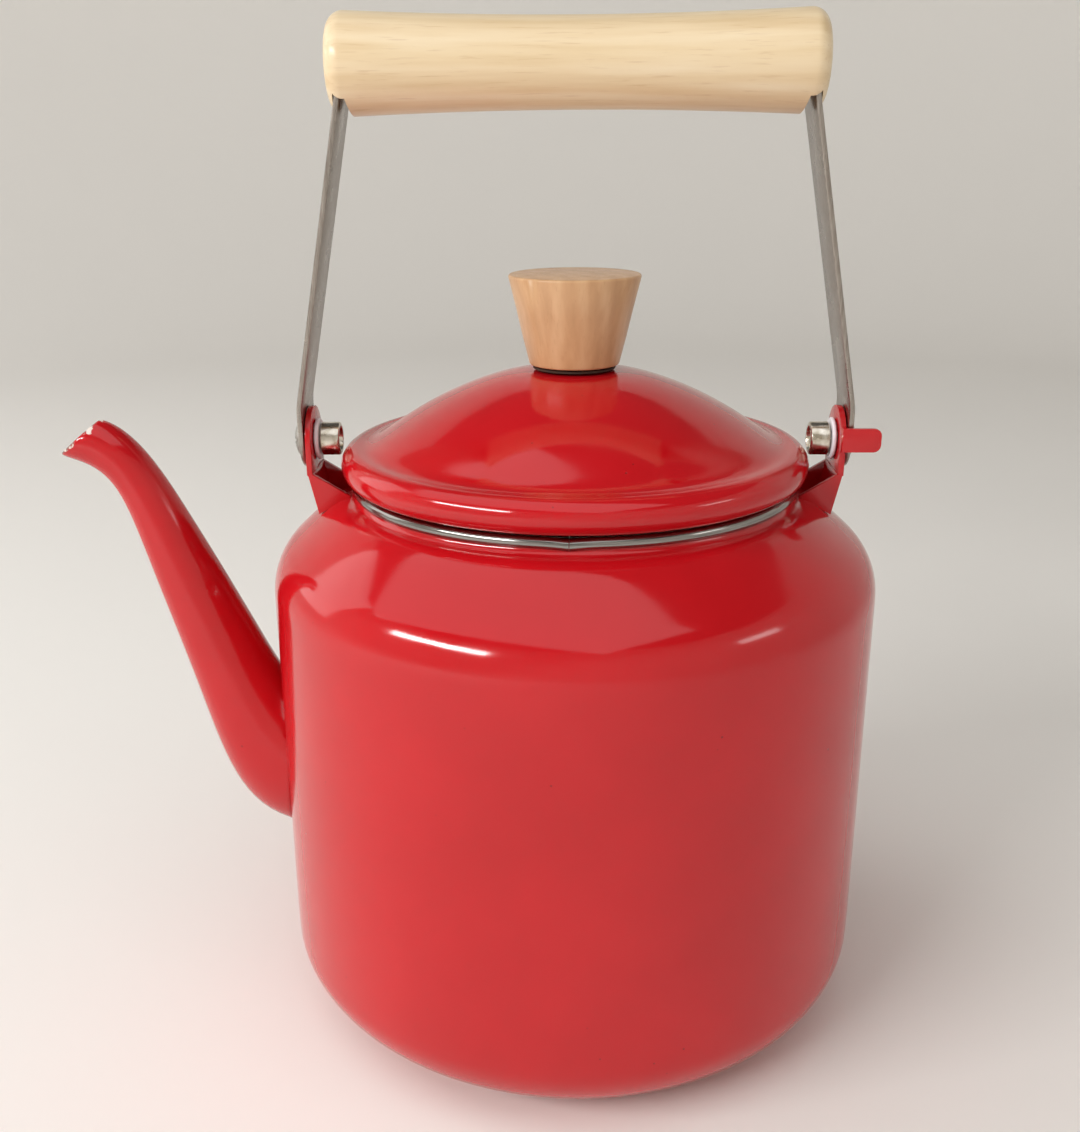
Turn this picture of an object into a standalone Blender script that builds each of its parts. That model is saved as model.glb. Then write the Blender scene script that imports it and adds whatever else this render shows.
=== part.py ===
"""Enamelled stovetop kettle with a wooden knob and a wooden bail grip.

Metres, +Z up. The origin is the centre of the flat base. The spout points to -X,
the bail turns about an axis along X, and the front of the kettle faces -Y.
"""
import bmesh
import bpy
from math import asin, cos, degrees, pi, radians, sin
from mathutils import Matrix, Vector

# Fits and sheet
GAP = 0.0003                 # between pieces that touch
SHEET = 0.0012               # enamelled steel sheet
TURN_STEPS = 40              # facets round the large turned pieces
SMALL_STEPS = 16             # facets round the fasteners

# Pot: a drawn wall and bottom
WALL_R_LOW = 0.0808          # at the top of the rounded bottom edge
WALL_R_TOP = 0.0800          # where the shoulder begins
BASE_EDGE = (0.0290, 0.0220)  # rounding between bottom and wall: width, height
WALL_TOP_Z = 0.1220
POT_RIM_Z = 0.1208           # seam between the pot and the shoulder
LAP_DEPTH = 0.0062           # the shoulder's skirt inside the pot

# Shoulder and mouth
SHOULDER_EDGE_R = 0.017
SHOULDER_EDGE_DEG = 50.0     # how far the edge rounds over before the cone
CONE_TOP = (0.0600, 0.1458)
CONE_BULGE = 0.0003          # the cone is slightly full at its middle
NECK_R = 0.0572
NECK_TOP_Z = 0.1488
NECK_FLARE_R = 0.0028        # fillet between the cone and the neck
NECK_FLARE_LIFT = 0.0021
RING_BOTTOM_Z = 0.1470
RING_TOP_Z = 0.1498
RING_SHEET = 0.0007
RING_CROWN = 0.0009          # height of the bead's rounded top
RING_LEG = 0.0042            # how far the ring reaches down inside the neck

# Spout: outer edge, inner edge and half width across, from the root to the lip
SPOUT_SHEET = 0.0012
SPOUT_STATIONS = (
    ((-0.0720, 0.0440), (-0.0720, 0.0800), 0.0145),
    ((-0.0860, 0.0470), (-0.0802, 0.0893), 0.0140),
    ((-0.0945, 0.0548), (-0.0826, 0.0943), 0.0132),
    ((-0.1000, 0.0668), (-0.0851, 0.0989), 0.0123),
    ((-0.1040, 0.0822), (-0.0882, 0.1058), 0.0112),
    ((-0.1083, 0.0990), (-0.0916, 0.1130), 0.0100),
    ((-0.1145, 0.1211), (-0.0982, 0.1270), 0.0082),
    ((-0.1182, 0.1355), (-0.1040, 0.1385), 0.0071),
    ((-0.1212, 0.1445), (-0.1090, 0.1485), 0.0063),
    ((-0.1248, 0.1500), (-0.1144, 0.1570), 0.0059),
    ((-0.1300, 0.1532), (-0.1200, 0.1625), 0.0058),
    ((-0.1361, 0.1548), (-0.1251, 0.1647), 0.0058),
)
SPOUT_SIDES = 18
SPOUT_SQUARENESS = 2.3       # exponent of the oval section; 2 is an ellipse

# Strainer: holes through the pot's wall behind the spout
HOLE_R = 0.0029
HOLE_PITCH_Y = 0.0085
HOLE_ROWS = ((0.0560, 2), (0.0640, 3), (0.0720, 2), (0.0800, 1))
HOLE_RUN_X = (-0.0860, -0.0700)   # the punches pass right through the wall

# Lugs and the pivots of the bail
PIVOT_Z = 0.1593
EAR_OUT_X = 0.0692
EAR_SHEET = 0.0014
EAR_R = 0.0086
WEB_TOP_Z = 0.1525
EAR_LAP = 0.0012             # the ear's root inside the web
WEB_FOOT = (0.0664, 0.1396)  # outer foot of the lug's web, on the shoulder
GUSSET_FOOT = (0.0592, 0.1458)
GUSSET_SHEET = 0.0014
TAB_OUT_X = 0.0776
TAB_HEIGHT = 0.0060
TAB_RISE = 0.0016            # its middle above the pivot
TAB_CORNER = 0.0018
TAB_BACK_Y = -0.0091
PIVOT_HOLE_R = 0.0029
SCREW_R = 0.0024
SCREW_HEAD_R = 0.0046
SCREW_HEAD_T = 0.0021
NUT_R = 0.0043
NUT_LENGTH = 0.0050
NUT_RECESS = 0.0016
WASHER_R = 0.0054
WASHER_T = 0.0010

# Lid
ROLL_R = 0.0044              # outer radius of the rolled rim's section
ROLL_CENTRE = (0.0564, 0.1545)
ROLL_START_DEG = 105.0
ROLL_END_DEG = -112.0
GROOVE = (0.0528, 0.1589)
DOME = ((0.0480, 0.1622), (0.0410, 0.1667), (0.0330, 0.1709), (0.0240, 0.1746), (0.0165, 0.1766))
CROWN = (0.0100, 0.1774)
LID_HOLE_R = 0.0024
COLLAR_R = 0.0541
COLLAR_SHEET = 0.0009
COLLAR_BOTTOM_Z = 0.1385
COLLAR_FLANGE_R = 0.0465

# Knob
KNOB_R_LOW = 0.0116
KNOB_R_TOP = 0.0167
KNOB_HEIGHT = 0.0223
KNOB_WASHER_R = 0.0106
KNOB_WASHER_T = 0.0008
KNOB_SCREW_R = 0.0018
KNOB_SCREW_DEPTH = 0.0125
KNOB_EDGE = 0.0006           # small chamfer at both ends
KNOB_PLATE_R = 0.0056        # the washer under the lid
KNOB_PLATE_T = 0.0008
KNOB_HEAD = ((0.0, 0.0021), (0.0020, 0.0020), (0.0033, 0.0013), (0.0037, 0.0))   # radius, depth

# Bail
STRAP_OUT_X = 0.0708
STRAP_SHEET = 0.0013
STRAP_WIDTH = 0.0170
STRAP_FOOT_Z = 0.0013        # centre of the round foot, above the pivot
STRAP_BEND_Z = 0.0096        # above the pivot, where the strap starts to lean in
STRAP_BEND_RUN = 0.0020
STRAP_LEAN_TOP = (0.0560, 0.0835)   # outer face where it turns upright again, inside the grip
STRAP_TOP_Z = 0.0935
GRIP_Z = 0.0899              # above the pivot
GRIP_HALF = 0.0581
GRIP_R_END = 0.0115
GRIP_R_WAIST = 0.0102
GRIP_CORNER = 0.0040
GRIP_SIDES = 24
GRIP_SCREW_R = 0.0018
GRIP_HEAD_R = 0.0036
GRIP_HEAD_T = 0.0013
GRIP_SCREW_LENGTH = 0.018
SLOT_REACH = 0.020           # how far below the grip's axis the slot's cutter starts
SLOT_SPLAY = (0.0024, 0.0040)     # how far its mouth opens outwards and inwards
SLOT_PLAY = 0.0004           # outside the strap; half as much again inside
WELL_END_X = 0.070           # the counterbores run out through the grip's ends
BAIL_LEAN_DEG = 2.0          # the bail rests against its stop, just forward of upright


def clear_scene():
    for obj in list(bpy.data.objects):
        bpy.data.objects.remove(obj)


def material(name, colour, roughness, metallic=0.0):
    mat = bpy.data.materials.new(name)
    mat.use_nodes = True
    shader = mat.node_tree.nodes["Principled BSDF"]
    shader.inputs["Base Color"].default_value = (*colour, 1.0)
    shader.inputs["Roughness"].default_value = roughness
    shader.inputs["Metallic"].default_value = metallic
    return mat


def finish(bm, name, mat, smooth_deg=40.0):
    bmesh.ops.remove_doubles(bm, verts=bm.verts, dist=1e-6)
    bmesh.ops.recalc_face_normals(bm, faces=bm.faces)
    mesh = bpy.data.meshes.new(name)
    bm.to_mesh(mesh)
    bm.free()
    mesh.shade_smooth()
    mesh.set_sharp_from_angle(angle=radians(smooth_deg))
    obj = bpy.data.objects.new(name, mesh)
    bpy.context.scene.collection.objects.link(obj)
    if mat:
        mesh.materials.append(mat)
    return obj


def guide(bm, name):
    """A cutter: kept in the scene for its Boolean, and left out of the model."""
    obj = finish(bm, name, None)
    obj.hide_render = True
    obj.display_type = "WIRE"
    return obj


def boolean(obj, tool, operation="DIFFERENCE"):
    mod = obj.modifiers.new(tool.name, "BOOLEAN")
    mod.operation = operation
    mod.object = tool
    mod.solver = "EXACT"


def arc(centre, radius, start_deg, end_deg, steps):
    angles = [radians(start_deg + (end_deg - start_deg) * i / steps) for i in range(steps + 1)]
    return [(centre[0] + radius * cos(a), centre[1] + radius * sin(a)) for a in angles]


def offset(points, distance):
    """The outline moved to its right-hand side, seen along its run."""
    moved = []
    for i, point in enumerate(points):
        before = Vector(points[max(i - 1, 0)])
        after = Vector(points[min(i + 1, len(points) - 1)])
        run = (after - before).normalized()
        moved.append((point[0] + run.y * distance, point[1] - run.x * distance))
    return moved


def turned(outline, steps, closed=True):
    """Spins an outline of (radius, height) points about Z."""
    bm = bmesh.new()
    verts = [bm.verts.new((r, 0.0, z)) for r, z in outline]
    edges = [bm.edges.new((a, b)) for a, b in zip(verts, verts[1:])]
    if closed:
        edges.append(bm.edges.new((verts[-1], verts[0])))
    bmesh.ops.spin(bm, geom=verts + edges, cent=(0, 0, 0), axis=(0, 0, 1), dvec=(0, 0, 0),
                   angle=2 * pi, steps=steps, use_merge=True, use_duplicate=False)
    return bm


def prism(outline, low, high, axis):
    """Extrudes an outline along X or Y. The outline is (y, z) for X and (x, z) for Y."""
    bm = bmesh.new()
    place = {"X": lambda a, b: (low, a, b), "Y": lambda a, b: (a, low, b)}[axis]
    face = bm.faces.new([bm.verts.new(place(a, b)) for a, b in outline])
    made = bmesh.ops.extrude_face_region(bm, geom=[face])
    verts = [item for item in made["geom"] if isinstance(item, bmesh.types.BMVert)]
    shift = Vector((high - low, 0, 0)) if axis == "X" else Vector((0, high - low, 0))
    bmesh.ops.translate(bm, verts=verts, vec=shift)
    return bm


def rod(radius, low, high, axis, centre, steps=SMALL_STEPS):
    """A cylinder from low to high along X or Z, through the centre point."""
    bm = bmesh.new()
    bmesh.ops.create_cone(bm, cap_ends=True, segments=steps, radius1=radius, radius2=radius,
                          depth=high - low)
    if axis == "X":
        bmesh.ops.rotate(bm, verts=bm.verts, matrix=Matrix.Rotation(pi / 2, 3, "Y"))
    along = Vector((1, 0, 0)) if axis == "X" else Vector((0, 0, 1))
    bmesh.ops.translate(bm, verts=bm.verts, vec=Vector(centre) + along * (low + high) / 2)
    return bm


def lay_along_x(bm, side):
    """Turns a piece spun about Z so that its +Z points outwards along X."""
    bmesh.ops.rotate(bm, verts=bm.verts, matrix=Matrix.Rotation(side * pi / 2, 3, "Y"))


# Body

def wall_radius(z):
    """Radius of the pot's outer face at height z."""
    share = (z - BASE_EDGE[1]) / (WALL_TOP_Z - BASE_EDGE[1])
    return WALL_R_LOW + (WALL_R_TOP - WALL_R_LOW) * share


def pot_outline():
    width, height = BASE_EDGE
    corner = [(WALL_R_LOW - width + width * x, height + height * z)
              for x, z in arc((0.0, 0.0), 1.0, -90, 0, 7)]
    middle = (wall_radius(0.070), 0.070)
    return [(0.0, 0.0), *corner, middle, (wall_radius(POT_RIM_Z), POT_RIM_Z)]


def build_pot(enamel):
    outer = pot_outline()
    inner = offset(outer, -SHEET)
    inner[0] = (0.0, SHEET)
    inner[-1] = (inner[-1][0], POT_RIM_Z)
    pot = finish(turned(outer + inner[::-1], TURN_STEPS, closed=False), "body_pot", enamel)
    boolean(pot, strainer_cutter())
    return pot


def strainer_cutter():
    bm = bmesh.new()
    for z, count in HOLE_ROWS:
        for i in range(count):
            y = (i - (count - 1) / 2) * HOLE_PITCH_Y
            hole = rod(HOLE_R, *HOLE_RUN_X, "X", (0, y, z), 12)
            mesh = bpy.data.meshes.new("hole")
            hole.to_mesh(mesh)
            hole.free()
            bm.from_mesh(mesh)
            bpy.data.meshes.remove(mesh)
    return guide(bm, "strainer_cutter")


def shoulder_outline():
    """Outer face of the shoulder, from its lower edge up to the lip of the neck."""
    centre = (WALL_R_TOP - SHOULDER_EDGE_R, WALL_TOP_Z)
    edge = arc(centre, SHOULDER_EDGE_R, 0, SHOULDER_EDGE_DEG, 5)
    bulge = ((edge[-1][0] + CONE_TOP[0]) / 2 + CONE_BULGE, (edge[-1][1] + CONE_TOP[1]) / 2 + CONE_BULGE)
    flare = arc((NECK_R + NECK_FLARE_R, CONE_TOP[1] + NECK_FLARE_LIFT), NECK_FLARE_R, 232, 180, 3)
    return [*edge, bulge, *flare, (NECK_R, NECK_TOP_Z)]


def build_shoulder(enamel):
    seam_z = POT_RIM_Z + GAP
    outer = [(wall_radius(seam_z), seam_z), *shoulder_outline()]
    inner = offset(shoulder_outline(), -SHEET)
    inner[-1] = (NECK_R - SHEET, NECK_TOP_Z)
    lap_r = wall_radius(POT_RIM_Z) - SHEET - GAP
    lap_z = POT_RIM_Z - LAP_DEPTH
    skirt = [(lap_r - SHEET, lap_z), (lap_r, lap_z), (lap_r, seam_z)]
    inner[0] = (lap_r - SHEET, WALL_TOP_Z)
    return finish(turned(skirt + outer + inner[::-1], TURN_STEPS), "shoulder", enamel)


def shoulder_cutter(name):
    """The solid inside the shoulder's outer face, grown by the gap."""
    grown = offset(shoulder_outline(), GAP)
    return guide(turned([(0.0, 0.110), (grown[0][0], 0.110), *grown, (0.0, grown[-1][1])],
                        TURN_STEPS * 2, closed=False), name)


def build_mouth_ring(steel):
    out_r = NECK_R + GAP
    in_r = NECK_R - SHEET - GAP
    roof = NECK_TOP_Z + GAP
    half = (out_r - in_r) / 2 + RING_SHEET
    centre = (in_r + half - RING_SHEET, RING_TOP_Z - RING_CROWN)
    top = [(centre[0] + half * cos(a), centre[1] + RING_CROWN * sin(a))
           for a in [radians(180 - 36 * i) for i in range(6)]]
    channel = [(out_r, RING_BOTTOM_Z), (out_r, roof), (in_r, roof), (in_r, RING_TOP_Z - RING_LEG)]
    outline = [(in_r - RING_SHEET, RING_TOP_Z - RING_LEG), *top,
               (out_r + RING_SHEET, RING_BOTTOM_Z), *channel]
    return finish(turned(outline, TURN_STEPS), "mouth_ring", steel)


def spout_section(outer, inner, half_width):
    centre = Vector((outer[0] + inner[0], 0, outer[1] + inner[1])) / 2
    reach = Vector((outer[0] - inner[0], 0, outer[1] - inner[1])) / 2
    points = []
    for i in range(SPOUT_SIDES):
        a = 2 * pi * i / SPOUT_SIDES
        c = abs(cos(a)) ** (2 / SPOUT_SQUARENESS) * (1 if cos(a) >= 0 else -1)
        s = abs(sin(a)) ** (2 / SPOUT_SQUARENESS) * (1 if sin(a) >= 0 else -1)
        points.append(centre + reach * c + Vector((0, half_width * s, 0)))
    return points


def build_spout(enamel):
    bm = bmesh.new()
    rings = [[bm.verts.new(p) for p in spout_section(*station)] for station in SPOUT_STATIONS]
    for low, high in zip(rings, rings[1:]):
        for i in range(SPOUT_SIDES):
            j = (i + 1) % SPOUT_SIDES
            bm.faces.new((low[i], low[j], high[j], high[i]))
    spout = finish(bm, "spout", enamel)
    wall = spout.modifiers.new("wall", "SOLIDIFY")
    wall.thickness = SPOUT_SHEET
    wall.offset = -1.0
    wall.use_even_offset = True
    body = [(0.0, 0.020), (wall_radius(0.020) + GAP, 0.020),
            (wall_radius(0.120) + GAP, 0.120), (0.0, 0.120)]
    boolean(spout, guide(turned(body, TURN_STEPS, closed=False), "spout_cutter"))
    return spout


# Lugs and pivots

def ear_outline(with_tab):
    """Outline of the ear as (y, z), with a step at its front edge where the stop tab is bent."""
    foot = [(-EAR_R, WEB_TOP_Z - EAR_LAP), (EAR_R, WEB_TOP_Z - EAR_LAP)]
    if not with_tab:
        return [*arc((0.0, PIVOT_Z), EAR_R, 0, 180, 12), *foot]
    low, high = tab_heights()
    meets = 180 - degrees(asin((high - PIVOT_Z) / EAR_R))
    front = TAB_BACK_Y - EAR_SHEET
    return [*arc((0.0, PIVOT_Z), EAR_R, 0, meets, 10), (front, high), (front, low),
            (-EAR_R, low), *foot]


def lug_wedge(inset, side):
    """Side outline of the lug's box: web outside, open above, resting on the shoulder."""
    lean = (EAR_OUT_X - WEB_FOOT[0]) / (WEB_TOP_Z - WEB_FOOT[1])
    low_z = WEB_FOOT[1] - 0.004
    low_x = WEB_FOOT[0] - 0.004 * lean
    rise = 0.004 if inset else 0.0
    outline = [(EAR_OUT_X - inset + rise * lean, WEB_TOP_Z + rise), (low_x - inset, low_z - inset),
               (GUSSET_FOOT[0] - 0.006, GUSSET_FOOT[1] - 0.006 - inset),
               (GUSSET_FOOT[0] - 0.001, GUSSET_FOOT[1] + rise)]
    return [(side * x, z) for x, z in outline]


def build_lug(side, name, enamel):
    lug = finish(prism(lug_wedge(0.0, side), -EAR_R, EAR_R, "Y"), name, enamel)
    inner_half = EAR_R - GUSSET_SHEET
    hollow = prism(lug_wedge(EAR_SHEET, side), -inner_half, inner_half, "Y")
    boolean(lug, guide(hollow, name + "_hollow"))
    faces = sorted((side * EAR_OUT_X, side * (EAR_OUT_X - EAR_SHEET)))
    boolean(lug, guide(prism(ear_outline(side > 0), *faces, "X"), name + "_ear"), "UNION")
    if side > 0:
        boolean(lug, stop_tab(name), "UNION")
    ends = sorted((side * 0.060, side * 0.080))
    boolean(lug, guide(rod(PIVOT_HOLE_R, *ends, "X", (0, 0, PIVOT_Z)), name + "_hole"))
    boolean(lug, shoulder_cutter(name + "_trim"))
    return lug


def tab_heights():
    middle = PIVOT_Z + TAB_RISE
    return middle - TAB_HEIGHT / 2, middle + TAB_HEIGHT / 2


def stop_tab(name):
    """A tongue bent outwards from the ear's front edge, which the strap leans against."""
    low, high = tab_heights()
    nose = arc((TAB_OUT_X - TAB_CORNER, low + TAB_CORNER), TAB_CORNER, -90, 0, 4)
    nose += arc((TAB_OUT_X - TAB_CORNER, high - TAB_CORNER), TAB_CORNER, 0, 90, 4)
    root_x = EAR_OUT_X - EAR_SHEET / 2
    bm = prism([(root_x, low), *nose, (root_x, high)], TAB_BACK_Y - EAR_SHEET, TAB_BACK_Y, "Y")
    return guide(bm, name + "_tab")


def build_pivot(side, word, steel, nickel, nylon):
    """A machine screw from outside, through strap and ear, into a barrel nut."""
    strap_x = STRAP_OUT_X + GAP
    washer_out = EAR_OUT_X - EAR_SHEET - GAP
    nut_out = washer_out - WASHER_T - GAP
    nut_in = nut_out - NUT_LENGTH
    head = [(0.0, strap_x + SCREW_HEAD_T), (SCREW_HEAD_R * 0.55, strap_x + SCREW_HEAD_T * 0.93),
            (SCREW_HEAD_R * 0.87, strap_x + SCREW_HEAD_T * 0.62), (SCREW_HEAD_R, strap_x)]
    shank = [(SCREW_R, strap_x), (SCREW_R, nut_in + NUT_RECESS + 0.0003),
             (SCREW_R - 0.0004, nut_in + NUT_RECESS - 0.0001), (0.0, nut_in + NUT_RECESS - 0.0001)]
    bore = SCREW_R + 0.0002
    nut = [(NUT_R - 0.0004, nut_out), (NUT_R, nut_out - 0.0004), (NUT_R, nut_in + 0.0005),
           (NUT_R - 0.0005, nut_in), (bore + 0.0007, nut_in), (bore, nut_in + NUT_RECESS),
           (bore, nut_out)]
    washer = [(PIVOT_HOLE_R - 0.0002, washer_out - WASHER_T), (WASHER_R - 0.0002, washer_out - WASHER_T),
              (WASHER_R, washer_out - WASHER_T + 0.0002), (WASHER_R, washer_out - 0.0002),
              (WASHER_R - 0.0002, washer_out), (PIVOT_HOLE_R - 0.0002, washer_out)]
    pieces = ((head + shank, False, "pivot_screw_", steel), (nut, True, "barrel_nut_", nickel),
              (washer, True, "pivot_washer_", nylon))
    for outline, closed, name, mat in pieces:
        bm = turned(outline, SMALL_STEPS, closed)
        lay_along_x(bm, side)
        obj = finish(bm, name + word, mat)
        obj.location = (0, 0, PIVOT_Z)


# Lid

def lid_outline():
    """Outer face of the lid, from its centre hole out and round the rolled rim."""
    roll = arc(ROLL_CENTRE, ROLL_R, ROLL_START_DEG, ROLL_END_DEG, 10)
    return [(LID_HOLE_R, CROWN[1]), CROWN, *DOME[::-1], GROOVE, *roll]


def build_lid_shell(enamel, parent):
    outer = lid_outline()
    inner = offset(outer, SHEET)
    inner[0] = (LID_HOLE_R, CROWN[1] - SHEET)
    lid = finish(turned(outer + inner[::-1], TURN_STEPS), "lid_shell", enamel)
    lid.parent = parent
    return lid


def build_collar(steel, parent):
    """A locating skirt under the lid, with a flange that follows the dome."""
    under = offset([GROOVE, DOME[0], DOME[1]], -(SHEET + GAP))
    slope = (under[1][1] - under[0][1]) / (under[0][0] - under[1][0])
    top_z = under[0][1] - (COLLAR_R - under[0][0]) * slope
    rim_z = under[0][1] + (under[0][0] - COLLAR_FLANGE_R) * slope
    r_in = COLLAR_R - COLLAR_SHEET
    outline = [(COLLAR_R, COLLAR_BOTTOM_Z), (COLLAR_R, top_z), (COLLAR_FLANGE_R, rim_z),
               (COLLAR_FLANGE_R, rim_z - COLLAR_SHEET), (r_in, top_z - COLLAR_SHEET),
               (r_in, COLLAR_BOTTOM_Z)]
    collar = finish(turned(outline, TURN_STEPS), "lid_collar", steel, 30)
    collar.parent = parent
    return collar


def build_knob(wood, fibre, steel, parent):
    washer_z = CROWN[1] + GAP
    knob_z = washer_z + KNOB_WASHER_T + GAP
    top_z = knob_z + KNOB_HEIGHT
    hole_r = KNOB_SCREW_R + GAP
    hole_z = knob_z + KNOB_SCREW_DEPTH + 0.001
    edge = KNOB_EDGE
    knob = [(0.0, hole_z), (hole_r, hole_z), (hole_r, knob_z), (KNOB_R_LOW - edge, knob_z),
            (KNOB_R_LOW, knob_z + edge), (KNOB_R_TOP, top_z - edge), (KNOB_R_TOP - edge, top_z),
            (0.0, top_z)]
    washer = [(LID_HOLE_R, washer_z), (KNOB_WASHER_R, washer_z),
              (KNOB_WASHER_R, washer_z + KNOB_WASHER_T), (LID_HOLE_R, washer_z + KNOB_WASHER_T)]
    plate_top = CROWN[1] - SHEET - GAP
    plate_low = plate_top - KNOB_PLATE_T
    plate = [(LID_HOLE_R, plate_low), (KNOB_PLATE_R, plate_low), (KNOB_PLATE_R, plate_top),
             (LID_HOLE_R, plate_top)]
    head_z = plate_low - GAP
    tip_z = knob_z + KNOB_SCREW_DEPTH
    screw = [*[(r, head_z - depth) for r, depth in KNOB_HEAD], (KNOB_SCREW_R, head_z),
             (KNOB_SCREW_R, tip_z - 0.002), (0.0, tip_z)]
    pieces = ((knob, "knob", wood, 36), (washer, "knob_washer", fibre, 28),
              (plate, "knob_screw_washer", steel, SMALL_STEPS), (screw, "knob_screw", steel, SMALL_STEPS))
    for outline, name, mat, steps in pieces:
        on_axis = any(r == 0.0 for r, z in outline)
        obj = finish(turned(outline, steps, closed=not on_axis), name, mat)
        obj.parent = parent


# Bail: built about its pivot axis, then leaned by its parent

def strap_stations():
    """Height, outer face and half width of the strap, from its round foot to its top."""
    half = STRAP_WIDTH / 2
    foot = [(STRAP_FOOT_Z - half * cos(a), STRAP_OUT_X, half * sin(a))
            for a in [radians(15 * i) for i in range(1, 7)]]
    top_x, turn_z = STRAP_LEAN_TOP
    lean = (STRAP_OUT_X - top_x) / (turn_z - STRAP_BEND_Z)
    bend = STRAP_BEND_RUN
    rise = [(STRAP_BEND_Z - bend, STRAP_OUT_X, half),
            (STRAP_BEND_Z, STRAP_OUT_X - bend * lean / 4, half),
            (STRAP_BEND_Z + bend, STRAP_OUT_X - bend * lean, half),
            (turn_z - 0.002, top_x + 0.002 * lean, half), (turn_z + 0.002, top_x, half),
            (STRAP_TOP_Z, top_x, half)]
    return foot + rise


def build_strap(side, word, steel, parent):
    bm = bmesh.new()
    columns = [(bm.verts.new((side * x, -w, z)), bm.verts.new((side * x, w, z)))
               for z, x, w in strap_stations()]
    for low, high in zip(columns, columns[1:]):
        bm.faces.new((low[0], low[1], high[1], high[0]))
    tip = bm.verts.new((side * STRAP_OUT_X, 0, STRAP_FOOT_Z - STRAP_WIDTH / 2))
    bm.faces.new((tip, columns[0][1], columns[0][0]))
    back = bmesh.ops.extrude_face_region(bm, geom=list(bm.faces))
    verts = [item for item in back["geom"] if isinstance(item, bmesh.types.BMVert)]
    bmesh.ops.translate(bm, verts=verts, vec=(-side * STRAP_SHEET, 0, 0))
    strap = finish(bm, "bail_strap_" + word, steel, 20)
    lows = sorted((side * 0.050, side * 0.080))
    holes = rod(PIVOT_HOLE_R, *lows, "X", (0, 0, 0), 24)
    boolean(strap, parented(guide(holes, "strap_hole_" + word), parent))
    top = rod(GRIP_SCREW_R + GAP, *lows, "X", (0, 0, GRIP_Z), 16)
    boolean(strap, parented(guide(top, "strap_top_hole_" + word), parent))
    strap.parent = parent
    return strap


def parented(obj, parent):
    obj.parent = parent
    return obj


def grip_outline():
    """Radius against distance along the grip, waisted in the middle, with rounded ends."""
    steps = 8
    flank = []
    for i in range(steps + 1):
        x = (GRIP_HALF - GRIP_CORNER) * (2 * i / steps - 1)
        share = (x / (GRIP_HALF - GRIP_CORNER)) ** 2
        flank.append((GRIP_R_WAIST + (GRIP_R_END - GRIP_R_WAIST) * share, x))
    rise = GRIP_R_END - GRIP_CORNER
    last = arc((rise, GRIP_HALF - GRIP_CORNER), GRIP_CORNER, 18, 90, 4)
    first = [(r, -x) for r, x in last[::-1]]
    return [(0.0, -GRIP_HALF), *first, *flank, *last, (0.0, GRIP_HALF)]


def build_grip(wood, parent):
    bm = turned(grip_outline(), GRIP_SIDES, closed=False)
    lay_along_x(bm, 1)
    bmesh.ops.translate(bm, verts=bm.verts, vec=(0, 0, GRIP_Z))
    grip = finish(bm, "grip", wood, 50)
    top_x = STRAP_LEAN_TOP[0]
    for side, word in ((-1, "left"), (1, "right")):
        out_x = top_x + SLOT_PLAY
        in_x = top_x - STRAP_SHEET - 1.5 * SLOT_PLAY
        mouth = [(top_x + SLOT_SPLAY[0], GRIP_Z - SLOT_REACH), (out_x, STRAP_LEAN_TOP[1]),
                 (out_x, STRAP_TOP_Z + 0.0010), (in_x, STRAP_TOP_Z + 0.0010),
                 (in_x, STRAP_LEAN_TOP[1] + 0.001),
                 (top_x - STRAP_SHEET - SLOT_SPLAY[1], GRIP_Z - SLOT_REACH)]
        slot = prism([(side * x, z) for x, z in mouth], -STRAP_WIDTH / 2 - GAP,
                     STRAP_WIDTH / 2 + GAP, "Y")
        well = GRIP_HEAD_R + GAP
        pilot = GRIP_SCREW_R + GAP
        tip = top_x - GRIP_SCREW_LENGTH - 0.001
        bore = [(0.0, tip), (pilot, tip), (pilot, top_x - 0.0010), (well, top_x - 0.0006),
                (well, WELL_END_X), (0.0, WELL_END_X)]
        bore = turned(bore, 20, closed=False)
        lay_along_x(bore, side)
        bmesh.ops.translate(bore, verts=bore.verts, vec=(0, 0, GRIP_Z))
        boolean(grip, parented(guide(bore, "grip_bore_" + word), parent))
        boolean(grip, parented(guide(slot, "grip_slot_" + word), parent))
    grip.parent = parent
    return grip


def build_grip_screw(side, word, steel, parent):
    seat = STRAP_LEAN_TOP[0] + GAP
    tip = STRAP_LEAN_TOP[0] - GRIP_SCREW_LENGTH
    outline = [(0.0, seat + GRIP_HEAD_T), (GRIP_HEAD_R * 0.7, seat + GRIP_HEAD_T * 0.9),
               (GRIP_HEAD_R, seat + GRIP_HEAD_T * 0.35), (GRIP_HEAD_R, seat), (GRIP_SCREW_R, seat),
               (GRIP_SCREW_R, tip + 0.003), (0.0, tip)]
    bm = turned(outline, SMALL_STEPS, closed=False)
    lay_along_x(bm, side)
    screw = finish(bm, "grip_screw_" + word, steel)
    screw.location = (0, 0, GRIP_Z)
    screw.parent = parent
    return screw


def empty(name, location, lean_deg=0.0):
    obj = bpy.data.objects.new(name, None)
    obj.location = location
    obj.rotation_euler.x = radians(lean_deg)
    bpy.context.scene.collection.objects.link(obj)
    return obj


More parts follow.
